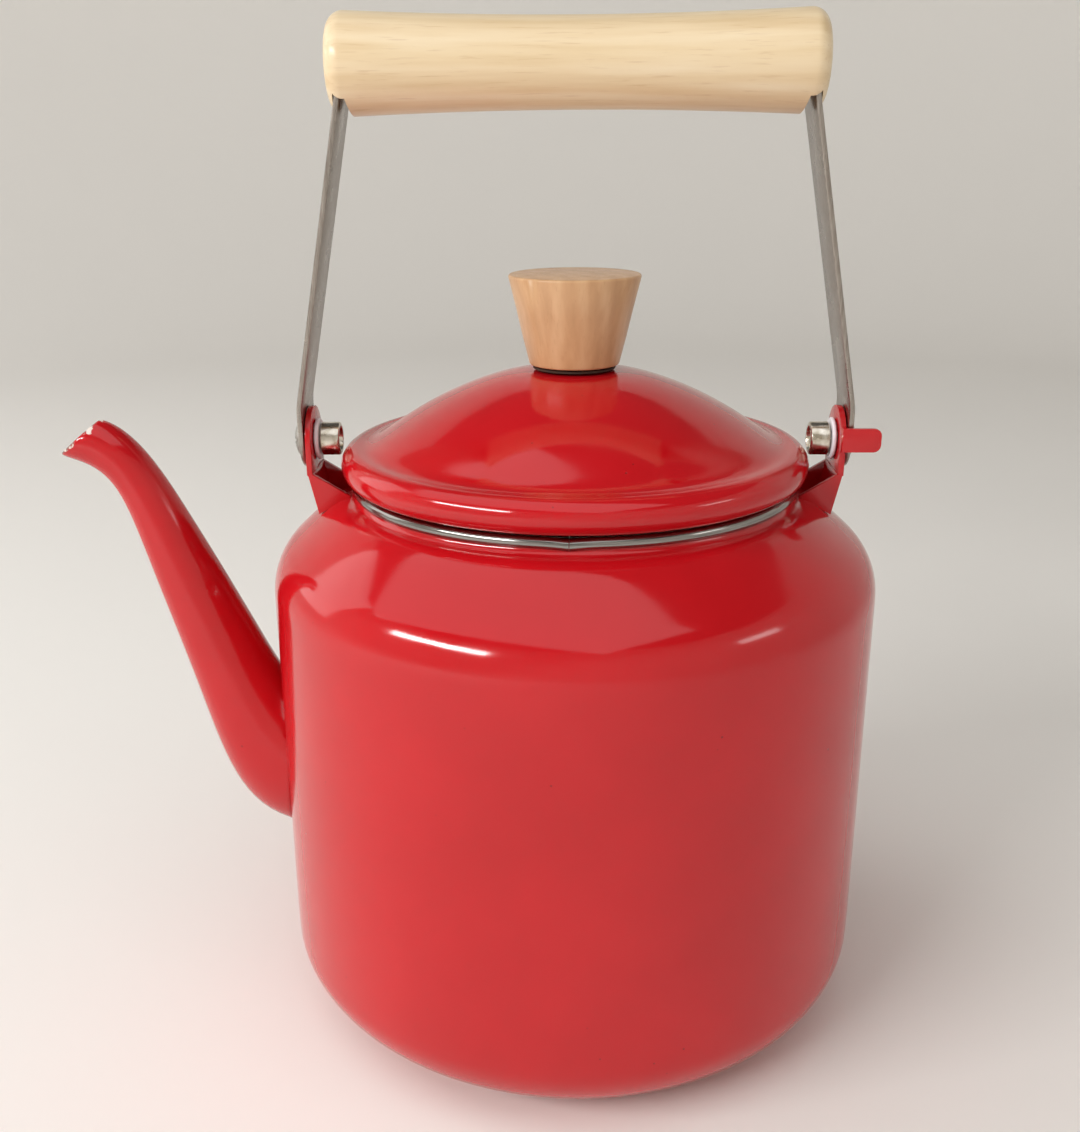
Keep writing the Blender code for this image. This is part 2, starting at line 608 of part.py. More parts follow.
def main():
    clear_scene()
    enamel = material("red_enamel", (0.48, 0.015, 0.020), 0.12)
    stainless = material("stainless_steel", (0.62, 0.61, 0.59), 0.25, 1.0)
    strip = material("strip_steel", (0.42, 0.39, 0.37), 0.38, 1.0)
    nickel = material("nickel_plate", (0.66, 0.62, 0.54), 0.18, 1.0)
    wood = material("beech", (0.72, 0.47, 0.25), 0.40)
    nylon = material("nylon", (0.78, 0.76, 0.78), 0.35)
    fibre = material("fibre_washer", (0.05, 0.03, 0.02), 0.80)

    build_pot(enamel)
    build_shoulder(enamel)
    build_mouth_ring(stainless)
    build_spout(enamel)
    for side, word in ((-1, "left"), (1, "right")):
        build_lug(side, "lug_" + word, enamel)
        build_pivot(side, word, strip, nickel, nylon)

    lid = empty("lid_lift", (0, 0, 0))
    build_lid_shell(enamel, lid)
    build_collar(stainless, lid)
    build_knob(wood, fibre, stainless, lid)

    bail = empty("bail_axis", (0, 0, PIVOT_Z), BAIL_LEAN_DEG)
    build_grip(wood, bail)
    for side, word in ((-1, "left"), (1, "right")):
        build_strap(side, word, strip, bail)
        build_grip_screw(side, word, stainless, bail)


main()
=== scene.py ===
from math import cos, pi, radians, sin

import bmesh
import bpy
from mathutils import Matrix, Vector


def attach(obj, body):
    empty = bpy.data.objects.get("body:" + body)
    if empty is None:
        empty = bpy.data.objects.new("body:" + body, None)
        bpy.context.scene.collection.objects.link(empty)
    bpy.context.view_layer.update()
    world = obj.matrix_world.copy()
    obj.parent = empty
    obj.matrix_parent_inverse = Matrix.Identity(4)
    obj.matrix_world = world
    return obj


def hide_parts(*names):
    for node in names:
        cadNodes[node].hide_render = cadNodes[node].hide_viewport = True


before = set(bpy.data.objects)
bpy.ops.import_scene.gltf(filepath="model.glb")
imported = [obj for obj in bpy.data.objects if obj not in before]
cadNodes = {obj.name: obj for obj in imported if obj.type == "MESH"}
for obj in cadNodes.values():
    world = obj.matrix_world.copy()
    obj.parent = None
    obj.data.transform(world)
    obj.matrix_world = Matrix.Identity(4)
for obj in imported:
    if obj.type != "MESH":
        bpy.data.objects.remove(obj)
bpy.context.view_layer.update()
mm = 0.001


# small helpers shared by every piece

def arcPoints(centre, radius, start, end, steps):
    # radius is one number, or (width, height) for an elliptical arc
    wide, high = radius if isinstance(radius, tuple) else (radius, radius)
    angles = [radians(start + (end - start) * i / steps) for i in range(steps + 1)]
    return [(centre[0] + wide * cos(a), centre[1] + high * sin(a)) for a in angles]


def spinProfile(profile, steps=96, closed=False, angle=360.0):
    # profile holds (radius, height) in millimetres, spun about Z
    bm = bmesh.new()
    verts = [bm.verts.new((r * mm, 0, z * mm)) for r, z in profile]
    edges = [bm.edges.new(pair) for pair in zip(verts, verts[1:])]
    if closed:
        edges.append(bm.edges.new((verts[-1], verts[0])))
    bmesh.ops.spin(bm, geom=verts + edges, cent=(0, 0, 0), axis=(0, 0, 1), dvec=(0, 0, 0),
                   angle=radians(angle), steps=steps, use_merge=angle == 360.0)
    bmesh.ops.remove_doubles(bm, verts=bm.verts, dist=0.001 * mm)
    bmesh.ops.recalc_face_normals(bm, faces=bm.faces)
    return bm


def layAlongX(bm, side, height):
    # turns a piece spun about Z so that its +Z points outwards along X
    bmesh.ops.rotate(bm, verts=bm.verts, matrix=Matrix.Rotation(side * pi / 2, 3, "Y"))
    bmesh.ops.translate(bm, verts=bm.verts, vec=(0, 0, height * mm))


def makePiece(name, bm, materials, sharpAngle=None):
    mesh = bpy.data.meshes.new(name)
    bm.to_mesh(mesh)
    bm.free()
    mesh.shade_smooth()
    if sharpAngle:
        mesh.set_sharp_from_angle(angle=radians(sharpAngle))
    for entry in materials:
        mesh.materials.append(entry)
    piece = bpy.data.objects.new(name, mesh)
    bpy.context.scene.collection.objects.link(piece)
    return piece


def addModifier(piece, kind, **settings):
    modifier = piece.modifiers.new(kind.lower(), kind)
    for key, value in settings.items():
        setattr(modifier, key, value)


def applyModifiers(piece):
    graph = bpy.context.evaluated_depsgraph_get()
    finished = bpy.data.meshes.new_from_object(piece.evaluated_get(graph))
    piece.modifiers.clear()
    piece.data = finished


def cutWith(piece, cutter, operation="DIFFERENCE"):
    # a Boolean with a throwaway solid
    tool = makePiece("tool", cutter, [])
    addModifier(piece, "BOOLEAN", object=tool, operation=operation, solver="EXACT")
    applyModifiers(piece)
    bpy.data.objects.remove(tool)


def block(low, high):
    bm = bmesh.new()
    bmesh.ops.create_cube(bm, size=1.0)
    size = [(b - a) * mm for a, b in zip(low, high)]
    bmesh.ops.scale(bm, verts=bm.verts, vec=size)
    bmesh.ops.translate(bm, verts=bm.verts, vec=[(a + b) * mm / 2 for a, b in zip(low, high)])
    return bm


def roundEdges(bm, edges, radius, segments):
    bmesh.ops.bevel(bm, geom=edges, offset=radius * mm, offset_type="OFFSET", segments=segments,
                    profile=0.5, affect="EDGES", clamp_overlap=True, material=-1)


def pushOutline(corners, push):
    # a flat outline pushed into a solid, in millimetres
    bm = bmesh.new()
    face = bm.faces.new([bm.verts.new([v * mm for v in corner]) for corner in corners])
    grown = bmesh.ops.extrude_face_region(bm, geom=[face])
    moved = [item for item in grown["geom"] if isinstance(item, bmesh.types.BMVert)]
    bmesh.ops.translate(bm, verts=moved, vec=[v * mm for v in push])
    return bm


def settle(piece, body, nodes):
    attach(piece, body)
    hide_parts(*nodes)


# the materials

def hexColour(code):
    # sRGB hex to linear
    channels = [int(code[i:i + 2], 16) / 255 for i in (1, 3, 5)]
    linear = [c / 12.92 if c <= 0.04045 else ((c + 0.055) / 1.055) ** 2.4 for c in channels]
    return (*linear, 1.0)


def addNode(tree, kind, settings, inputs):
    # settings are the node's own values; an input is a number, a colour or another node's socket
    node = tree.nodes.new("ShaderNode" + kind)
    for key, value in settings.items():
        if key == "stops":
            ramp = node.color_ramp
            while len(ramp.elements) < len(value):
                ramp.elements.new(0.5)
            for element, (place, code) in zip(ramp.elements, value):
                element.position = place
                element.color = hexColour(code)
        else:
            setattr(node, key, value)
    for key, value in inputs.items():
        if isinstance(value, bpy.types.NodeSocket):
            tree.links.new(value, node.inputs[key])
        else:
            node.inputs[key].default_value = value
    return node


def newMaterial(name, **sockets):
    made = bpy.data.materials.new(name)
    made.use_nodes = True
    shader = made.node_tree.nodes["Principled BSDF"]
    for key, value in sockets.items():
        shader.inputs[key.replace("_", " ")].default_value = value
    return made, made.node_tree, shader


# a point on the pouring lip and the way the lip faces
lipPlane = {"at": (-136.1, 0, 154.8), "facing": (-0.669, 0, 0.743)}


def vitreousEnamel(name, tones, lipWear=False):
    # glass fused on steel: a hard wet gloss with slow ripples where the coat ran before firing
    made, tree, shader = newMaterial(name, IOR=1.52, Metallic=0.0)
    place = addNode(tree, "TexCoord", {}, {}).outputs["Object"]
    # the tone drifts a little over about 38 mm
    cloud = addNode(tree, "TexNoise", {}, {"Vector": place, "Scale": 1 / (38 * mm), "Detail": 3.0})
    tint = addNode(tree, "ValToRGB", {"stops": list(zip((0.32, 0.5, 0.68), tones))},
                   {"Fac": cloud.outputs["Fac"]}).outputs["Color"]
    # pinholes about 0.5 mm across, a few in each square centimetre
    grit = addNode(tree, "TexVoronoi", {}, {"Vector": place, "Scale": 1 / (4.5 * mm)})
    pinhole = addNode(tree, "MapRange", {}, {"Value": grit.outputs["Distance"], "From Min": 0.045,
                                             "From Max": 0.075, "To Min": 0.75, "To Max": 0.0})
    rare = addNode(tree, "TexNoise", {}, {"Vector": place, "Scale": 1 / (14 * mm), "Detail": 1.0})
    rareMask = addNode(tree, "MapRange", {}, {"Value": rare.outputs["Fac"], "From Min": 0.60,
                                              "From Max": 0.66})
    spots = addNode(tree, "Math", {"operation": "MULTIPLY"},
                    {0: pinhole.outputs["Result"], 1: rareMask.outputs["Result"]})
    speckled = addNode(tree, "Mix", {"data_type": "RGBA"},
                       {0: spots.outputs["Value"], 6: tint, 7: hexColour("#5E1216")}).outputs[2]
    smear = addNode(tree, "TexNoise", {}, {"Vector": place, "Scale": 1 / (16 * mm), "Detail": 4.0})
    roughness = addNode(tree, "MapRange", {}, {"Value": smear.outputs["Fac"], "From Min": 0.3,
                                               "From Max": 0.7, "To Min": 0.07,
                                               "To Max": 0.15}).outputs["Result"]
    if lipWear:
        # the coat is chipped round the pouring lip, down to a pale ground coat and dark steel
        fromLip = addNode(tree, "VectorMath", {"operation": "SUBTRACT"},
                          {0: place, 1: [v * mm for v in lipPlane["at"]]})
        pastLip = addNode(tree, "VectorMath", {"operation": "DOT_PRODUCT"},
                          {0: fromLip.outputs["Vector"], 1: lipPlane["facing"]})
        ragged = addNode(tree, "TexNoise", {}, {"Vector": place, "Scale": 1 / (2.6 * mm),
                                                "Detail": 3.0})
        edge = addNode(tree, "Math", {"operation": "MULTIPLY_ADD"},
                       {0: ragged.outputs["Fac"], 1: 7.0 * mm, 2: -2.7 * mm})
        deep = addNode(tree, "Math", {"operation": "ADD"},
                       {0: pastLip.outputs["Value"], 1: edge.outputs["Value"]})
        chipped = addNode(tree, "MapRange", {}, {"Value": deep.outputs["Value"],
                                                 "From Min": 0.0, "From Max": 0.35 * mm})
        ground = addNode(tree, "ValToRGB", {"stops": [(0.42, "#2B1513"), (0.5, "#8C6A60"),
                                                      (0.58, "#E9D9D0")]},
                         {"Fac": ragged.outputs["Fac"]}).outputs["Color"]
        speckled = addNode(tree, "Mix", {"data_type": "RGBA"},
                           {0: chipped.outputs["Result"], 6: speckled, 7: ground}).outputs[2]
        roughness = addNode(tree, "Math", {"operation": "MULTIPLY_ADD"},
                            {0: chipped.outputs["Result"], 1: 0.4, 2: roughness}).outputs["Value"]
    # slow ripples 45 mm long, and an orange peel of 7 mm, drawn coarser than the real one
    ripple = addNode(tree, "TexNoise", {}, {"Vector": place, "Scale": 1 / (45 * mm), "Detail": 1.0})
    peel = addNode(tree, "TexNoise", {}, {"Vector": place, "Scale": 1 / (7 * mm), "Detail": 2.0})
    slow = addNode(tree, "Bump", {}, {"Height": ripple.outputs["Fac"], "Strength": 0.25,
                                      "Distance": 0.5 * mm})
    fine = addNode(tree, "Bump", {}, {"Height": peel.outputs["Fac"], "Strength": 0.25,
                                      "Distance": 0.10 * mm, "Normal": slow.outputs["Normal"]})
    pit = addNode(tree, "Bump", {"invert": True}, {"Height": spots.outputs["Value"],
                  "Strength": 0.5, "Distance": 0.08 * mm, "Normal": fine.outputs["Normal"]})
    tree.links.new(speckled, shader.inputs["Base Color"])
    tree.links.new(roughness, shader.inputs["Roughness"])
    tree.links.new(pit.outputs["Normal"], shader.inputs["Normal"])
    return made


ringUnrollR = 58


def brushedSteel(name, tones, roughness, lineMm, runMm, axis):
    # rolled and brushed stainless steel: fine lines along axis break the reflection up one way;
    # the lines are lineMm apart, coarser than real ones so that they show, and runMm long
    made, tree, shader = newMaterial(name, Metallic=1.0)
    place = addNode(tree, "TexCoord", {}, {}).outputs["Object"]
    if axis == "around":
        parts = addNode(tree, "SeparateXYZ", {}, {"Vector": place})
        turn = addNode(tree, "Math", {"operation": "ARCTAN2"},
                       {0: parts.outputs["Y"], 1: parts.outputs["X"]})
        # unrolled at the ring's own radius
        span = addNode(tree, "Math", {"operation": "MULTIPLY"},
                       {0: turn.outputs["Value"], 1: ringUnrollR * mm})
        place = addNode(tree, "CombineXYZ", {}, {"X": span.outputs["Value"],
                                                 "Y": parts.outputs["Z"],
                                                 "Z": 0.0}).outputs["Vector"]
        axis = "X"
    stretch = [1 / (lineMm * mm)] * 3
    stretch["XYZ".index(axis)] = 1 / (runMm * mm)
    lines = addNode(tree, "Mapping", {}, {"Vector": place, "Scale": stretch}).outputs["Vector"]
    grain = addNode(tree, "TexNoise", {}, {"Vector": lines, "Scale": 1.0, "Detail": 3.0})
    smudge = addNode(tree, "TexNoise", {}, {"Vector": place, "Scale": 1 / (11 * mm), "Detail": 3.0})
    tint = addNode(tree, "ValToRGB", {"stops": list(zip((0.3, 0.7), tones))},
                   {"Fac": grain.outputs["Fac"]})
    blur = addNode(tree, "MapRange", {}, {"Value": smudge.outputs["Fac"], "From Min": 0.3,
                                          "From Max": 0.7, "To Min": roughness * 0.8,
                                          "To Max": roughness * 1.3})
    ridge = addNode(tree, "Bump", {}, {"Height": grain.outputs["Fac"], "Strength": 0.35,
                                       "Distance": 0.03 * mm})
    tree.links.new(tint.outputs["Color"], shader.inputs["Base Color"])
    tree.links.new(blur.outputs["Result"], shader.inputs["Roughness"])
    tree.links.new(ridge.outputs["Normal"], shader.inputs["Normal"])
    return made


def nickelPlate(name):
    # bright nickel on a turned nut: warm mirror, dulled by handling and a few tool scratches
    made, tree, shader = newMaterial(name, Metallic=1.0)
    place = addNode(tree, "TexCoord", {}, {}).outputs["Object"]
    stain = addNode(tree, "TexNoise", {}, {"Vector": place, "Scale": 1 / (3.0 * mm), "Detail": 4.0})
    tint = addNode(tree, "ValToRGB", {"stops": [(0.35, "#B3A894"), (0.5, "#D8D0C2"),
                                                (0.7, "#ECE7DE")]}, {"Fac": stain.outputs["Fac"]})
    blur = addNode(tree, "MapRange", {}, {"Value": stain.outputs["Fac"], "From Min": 0.35,
                                          "From Max": 0.7, "To Min": 0.30, "To Max": 0.12})
    scratch = addNode(tree, "TexNoise", {}, {"Vector": place, "Scale": 1 / (0.9 * mm),
                                             "Detail": 2.0})
    dent = addNode(tree, "Bump", {}, {"Height": scratch.outputs["Fac"], "Strength": 0.2,
                                      "Distance": 0.05 * mm})
    tree.links.new(tint.outputs["Color"], shader.inputs["Base Color"])
    tree.links.new(blur.outputs["Result"], shader.inputs["Roughness"])
    tree.links.new(dent.outputs["Normal"], shader.inputs["Normal"])
    return made


def lacqueredBeech(name, tones, grainAxis, pith):
    # turned beech under a thin satin lacquer: broad pale bands 3 mm across and short dark flecks
    # 9 mm long, both along grainAxis; pith is the heart of the tree, in millimetres off the piece
    made, tree, shader = newMaterial(name, IOR=1.5, Coat_Weight=0.35, Coat_Roughness=0.22)
    place = addNode(tree, "TexCoord", {}, {}).outputs["Object"]
    offset = addNode(tree, "Mapping", {}, {"Vector": place, "Location": [v * mm for v in pith]})
    rings = addNode(tree, "TexWave", {"wave_type": "RINGS", "rings_direction": grainAxis},
                    {"Vector": offset.outputs["Vector"], "Scale": 1 / (18 * mm), "Distortion": 2.2,
                     "Detail": 2.0, "Detail Scale": 0.6})
    across = [1 / (0.55 * mm)] * 3
    across["XYZ".index(grainAxis)] = 1 / (9 * mm)
    fleckPlace = addNode(tree, "Mapping", {}, {"Vector": place, "Scale": across})
    fleck = addNode(tree, "TexNoise", {}, {"Vector": fleckPlace.outputs["Vector"], "Scale": 1.0,
                                           "Detail": 2.0})
    broad = [1 / (3.2 * mm)] * 3
    broad["XYZ".index(grainAxis)] = 1 / (60 * mm)
    broadPlace = addNode(tree, "Mapping", {}, {"Vector": place, "Scale": broad})
    streak = addNode(tree, "TexNoise", {}, {"Vector": broadPlace.outputs["Vector"], "Scale": 1.0,
                                            "Detail": 3.0})
    blend = addNode(tree, "Mix", {"data_type": "FLOAT"},
                    {0: 0.88, 2: rings.outputs["Fac"], 3: streak.outputs["Fac"]}).outputs[0]
    base = addNode(tree, "ValToRGB", {"stops": list(zip((0.3, 0.5, 0.7), tones))},
                   {"Fac": blend}).outputs["Color"]
    dark = addNode(tree, "MapRange", {}, {"Value": fleck.outputs["Fac"], "From Min": 0.60,
                                          "From Max": 0.74, "To Max": 0.20})
    coloured = addNode(tree, "Mix", {"data_type": "RGBA"},
                       {0: dark.outputs["Result"], 6: base, 7: hexColour("#A87544")}).outputs[2]
    blur = addNode(tree, "MapRange", {}, {"Value": fleck.outputs["Fac"], "From Min": 0.3,
                                          "From Max": 0.7, "To Min": 0.36, "To Max": 0.5})
    pore = addNode(tree, "Bump", {"invert": True}, {"Height": fleck.outputs["Fac"],
                   "Strength": 0.22, "Distance": 0.05 * mm})
    tree.links.new(coloured, shader.inputs["Base Color"])
    tree.links.new(blur.outputs["Result"], shader.inputs["Roughness"])
    tree.links.new(pore.outputs["Normal"], shader.inputs["Normal"])
    return made


def mouldedPlastic(name, tones, roughness, grainMm):
    # moulded or punched washer stock: smooth, with a faint mottled tone
    made, tree, shader = newMaterial(name, IOR=1.53)
    place = addNode(tree, "TexCoord", {}, {}).outputs["Object"]
    mottle = addNode(tree, "TexNoise", {}, {"Vector": place, "Scale": 1 / (grainMm * mm),
                                            "Detail": 3.0})
    tint = addNode(tree, "ValToRGB", {"stops": list(zip((0.3, 0.7), tones))},
                   {"Fac": mottle.outputs["Fac"]})
    blur = addNode(tree, "MapRange", {}, {"Value": mottle.outputs["Fac"], "From Min": 0.3,
                                          "From Max": 0.7, "To Min": roughness * 0.85,
                                          "To Max": roughness * 1.2})
    skin = addNode(tree, "Bump", {}, {"Height": mottle.outputs["Fac"], "Strength": 0.15,
                                      "Distance": 0.04 * mm})
    tree.links.new(tint.outputs["Color"], shader.inputs["Base Color"])
    tree.links.new(blur.outputs["Result"], shader.inputs["Roughness"])
    tree.links.new(skin.outputs["Normal"], shader.inputs["Normal"])
    return made


redTones = ("#B80E16", "#BD0F18", "#C2111A")
redEnamel = vitreousEnamel("vitreousEnamelRed", redTones)
redEnamelLip = vitreousEnamel("vitreousEnamelRedLip", redTones, lipWear=True)
paleEnamel = vitreousEnamel("vitreousEnamelPaleInside", ("#D9D4C6", "#E0DCD0", "#E6E3D9"))
ringSteel = brushedSteel("polishedStainlessRing", ("#827F7C", "#A29F9B"), 0.14, 0.25, 14,
                         "around")
strapSteel = brushedSteel("brushedStripSteel", ("#90877F", "#ADA59D"), 0.28, 0.30, 26, "Z")
screwSteel = brushedSteel("turnedScrewSteel", ("#9E9A94", "#BDBAB4"), 0.28, 0.25, 2, "Y")
nickel = nickelPlate("brightNickelPlate")
gripBeech = lacqueredBeech("lacqueredBeechGrip", ("#DABF95", "#E3CBA4", "#EAD6B4"), "X",
                           (0, 46, 30))
knobBeech = lacqueredBeech("lacqueredBeechKnob", ("#BE9266", "#C89C70", "#D2A97E"), "Z",
                           (34, 22, 0))
nylon = mouldedPlastic("mouldedNylon", ("#E2E0E6", "#F1F0F4"), 0.34, 2.5)
fibre = mouldedPlastic("punchedFibre", ("#2A1B15", "#46301F"), 0.8, 0.8)
print("materials ready")


# the enamelled vessel: pot and shoulder in one shell, since the coat hides the seam between them

vessel = {"sheet": 1.2, "flatR": (0.0, 26.0, 46.0), "wallLow": 80.8, "wallTop": 80.0,
          "corner": (29.0, 22.0), "wallTopZ": 122.0, "edgeR": 17.0, "edgeTurn": 50.0,
          "coneTop": (60.0, 145.8), "bulge": 0.3, "neckR": 57.2, "neckTopZ": 148.6,
          "flareR": 2.8, "flareRise": 2.1, "flareFrom": 232.0, "steps": 96}


def vesselProfile():
    v = vessel
    wide, high = v["corner"]
    flat = [(radius, 0.0) for radius in v["flatR"]]
    base = arcPoints((v["wallLow"] - wide, high), (wide, high), -90, 0, 12)
    wall = [(v["wallLow"] + (v["wallTop"] - v["wallLow"]) * t, high + (v["wallTopZ"] - high) * t)
            for t in (0.15, 0.4, 0.65, 0.9)]
    edge = arcPoints((v["wallTop"] - v["edgeR"], v["wallTopZ"]), v["edgeR"], 0, v["edgeTurn"], 8)
    top = v["coneTop"]
    cone = [(edge[-1][0] + (top[0] - edge[-1][0]) * t + v["bulge"] * 4 * t * (1 - t),
             edge[-1][1] + (top[1] - edge[-1][1]) * t + v["bulge"] * 4 * t * (1 - t))
            for t in (0.3, 0.6, 0.88)]
    flare = arcPoints((v["neckR"] + v["flareR"], top[1] + v["flareRise"]), v["flareR"],
                      v["flareFrom"], 180, 8)
    return [*flat, *base, *wall, *edge, *cone, *flare, (v["neckR"], v["neckTopZ"])]


# rows are (height, number of holes)
strainer = {"holeR": 2.9, "pitch": 8.5, "rows": ((56.0, 2), (64.0, 3), (72.0, 2), (80.0, 1)),
            "from": -86.0, "to": -70.0}


def strainerCutter():
    s = strainer
    bm = bmesh.new()
    turn = Matrix.Rotation(pi / 2, 4, "Y")
    for height, count in s["rows"]:
        for i in range(count):
            centre = Vector(((s["from"] + s["to"]) / 2, (i - (count - 1) / 2) * s["pitch"], height))
            bmesh.ops.create_cone(bm, cap_ends=True, segments=32, radius1=s["holeR"] * mm,
                                  radius2=s["holeR"] * mm, depth=(s["to"] - s["from"]) * mm,
                                  matrix=Matrix.Translation(centre * mm) @ turn)
    return bm


body = makePiece("vesselShell", spinProfile(vesselProfile(), vessel["steps"]),
                 [redEnamel, paleEnamel])
addModifier(body, "SOLIDIFY", thickness=vessel["sheet"] * mm, offset=-1.0, material_offset=1)
addModifier(body, "SUBSURF", levels=1, render_levels=1)
applyModifiers(body)
cutWith(body, strainerCutter())
settle(body, "body", ["body_pot", "shoulder"])
print("vessel")


# the spout: outer edge, inner edge and half width at each station, from the root to the lip;
# potWall is the outline of the pot, inside which the spout is cut away

spout = {"sides": 28, "sheet": 1.2, "stations": (
    ((-72.0, 44.0), (-72.0, 80.0), 14.5), ((-86.0, 47.0), (-80.2, 89.3), 14.0),
    ((-94.5, 54.8), (-82.6, 94.3), 13.2), ((-100.0, 66.8), (-85.1, 98.9), 12.3),
    ((-104.0, 82.2), (-88.2, 105.8), 11.2), ((-108.3, 99.0), (-91.6, 113.0), 10.0),
    ((-114.5, 121.1), (-98.2, 127.0), 8.2), ((-118.2, 135.5), (-104.0, 138.5), 7.1),
    ((-121.2, 144.5), (-109.0, 148.5), 6.3), ((-124.8, 150.0), (-114.4, 157.0), 5.9),
    ((-130.0, 153.2), (-120.0, 162.5), 5.8), ((-136.1, 154.8), (-125.1, 164.7), 5.8)),
    "potWall": ((0, 12), (80.25, 12), (80.2, 22), (79.4, 122), (0, 122)), "potSteps": 192}


def loftSpout():
    bm = bmesh.new()
    rings = []
    for outer, inner, half in spout["stations"]:
        made = bmesh.ops.create_circle(bm, cap_ends=False, segments=spout["sides"], radius=1.0)
        middle = Vector((outer[0] + inner[0], 0, outer[1] + inner[1])) * mm / 2
        reach = Vector((outer[0] - inner[0], 0, outer[1] - inner[1])) * mm / 2
        across = Vector((0, half * mm, 0))
        lay = Matrix((reach, across, reach.cross(across).normalized())).transposed().to_4x4()
        bmesh.ops.transform(bm, matrix=Matrix.Translation(middle) @ lay, verts=made["verts"])
        rings.append({edge for vert in made["verts"] for edge in vert.link_edges})
    for low, high in zip(rings, rings[1:]):
        bmesh.ops.bridge_loops(bm, edges=[*low, *high])
    bmesh.ops.recalc_face_normals(bm, faces=bm.faces)
    return bm


pourer = makePiece("spoutShell", loftSpout(), [redEnamelLip])
addModifier(pourer, "SOLIDIFY", thickness=spout["sheet"] * mm, offset=-1.0, use_even_offset=True)
addModifier(pourer, "SUBSURF", levels=2, render_levels=2)
applyModifiers(pourer)
cutWith(pourer, spinProfile(spout["potWall"], spout["potSteps"]))
settle(pourer, "body", ["spout"])
print("spout")


# the lugs: folded sheet under the same enamel, so every edge is softly rounded

lug = {"weld": 0.005, "flatAngle": 1.0, "edgeAngle": 38.0, "edgeR": 0.45, "segments": 3}


def softCopy(node):
    bm = bmesh.new()
    bm.from_mesh(cadNodes[node].data)
    bmesh.ops.remove_doubles(bm, verts=bm.verts, dist=lug["weld"] * mm)
    bmesh.ops.dissolve_limit(bm, angle_limit=radians(lug["flatAngle"]), verts=bm.verts,
                             edges=bm.edges)
    edges = [edge for edge in bm.edges
             if edge.is_manifold and edge.calc_face_angle() > radians(lug["edgeAngle"])]
    roundEdges(bm, edges, lug["edgeR"], lug["segments"])
    return bm


for word in ("left", "right"):
    folded = makePiece("lug" + word.title(), softCopy("lug_" + word), [redEnamel], 40)
    settle(folded, "body", ["lug_" + word])
print("lugs")


# the steel ring rolled over the mouth, with its butt seam at the front

mouthRing = {"outR": 58.15, "inR": 55.05, "topZ": 149.8, "legZ": 145.6, "sheet": 0.6,
             "curlTo": -38.0, "steps": 120, "seamTurn": -91.4, "seamGap": 0.16, "kink": 0.5,
             "kinkRun": 7.0}


def ringBead():
    m = mouthRing
    half = (m["outR"] - m["inR"]) / 2
    centre = (m["inR"] + half, m["topZ"] - half)
    crown = arcPoints(centre, half, 180, m["curlTo"], 12)
    inner = arcPoints(centre, half - m["sheet"], m["curlTo"], 180, 8)
    profile = [(m["inR"], m["legZ"]), *crown, *inner, (m["inR"] + m["sheet"], m["legZ"])]
    bm = spinProfile(profile, m["steps"], closed=True, angle=360 - m["seamGap"])
    ends = [edge for edge in bm.edges if edge.is_boundary]
    bmesh.ops.holes_fill(bm, edges=ends, sides=0)
    bmesh.ops.recalc_face_normals(bm, faces=bm.faces)
    for vert in bm.verts:   # the strip sags a little where its ends were pressed together
        away = Vector((vert.co.x - m["outR"] * mm, vert.co.y)).length / mm
        vert.co.z -= m["kink"] * mm * max(0.0, 1 - away / m["kinkRun"]) ** 2
    bmesh.ops.rotate(bm, verts=bm.verts, matrix=Matrix.Rotation(radians(m["seamTurn"]), 3, "Z"))
    return bm


ring = makePiece("mouthRing", ringBead(), [ringSteel], 40)
settle(ring, "body", ["mouth_ring"])
print("mouth ring")


# the lid: a domed pressing with a groove and a rolled rim, and the skirt that locates it

lid = {"sheet": 1.2, "holeR": 2.4, "crownZ": 177.4, "steps": 96,
       "dome": ((48.0, 162.2), (41.0, 166.7), (33.0, 170.9), (24.0, 174.6), (16.5, 176.6),
                (10.0, 177.4)),
       "groove": (52.8, 158.9), "roll": (56.4, 154.5), "rollR": 4.4, "rollFrom": 105,
       "rollTo": -112}


def lidProfile():
    rim = arcPoints(lid["roll"], lid["rollR"], lid["rollFrom"], lid["rollTo"], 14)
    return [(lid["holeR"], lid["crownZ"]), *lid["dome"][::-1], lid["groove"], *rim]


cover = makePiece("lidShell", spinProfile(lidProfile(), lid["steps"]), [redEnamel, paleEnamel])
addModifier(cover, "SOLIDIFY", thickness=lid["sheet"] * mm, offset=-1.0, material_offset=1)
addModifier(cover, "SUBSURF", levels=2, render_levels=2)
settle(cover, "lid", ["lid_shell"])

collar = {"outR": 54.1, "sheet": 0.9, "bottomZ": 138.5, "topZ": 156.4, "flangeR": 46.5,
          "rimZ": 161.4, "rimDrop": 0.1, "bend": 1.4, "bendShare": 0.3, "innerEase": 0.5,
          "steps": 120}


def collarProfile():
    c = collar
    inR = c["outR"] - c["sheet"]
    outer = [(c["outR"], c["bottomZ"]), (c["outR"], c["topZ"] - c["bend"]),
             (c["outR"] - c["bendShare"] * c["bend"], c["topZ"]),
             (c["flangeR"], c["rimZ"] - c["rimDrop"])]
    inner = [(c["flangeR"], c["rimZ"] - c["sheet"]),
             (inR - c["innerEase"], c["topZ"] - c["sheet"]),
             (inR, c["topZ"] - c["bend"] - c["sheet"]), (inR, c["bottomZ"])]
    return outer + inner


skirt = makePiece("lidCollar", spinProfile(collarProfile(), collar["steps"], closed=True),
                  [ringSteel], 25)
settle(skirt, "lid", ["lid_collar"])
print("lid")


# the knob: a plain taper, a little chipped round its top edge; chips are (turn, size)

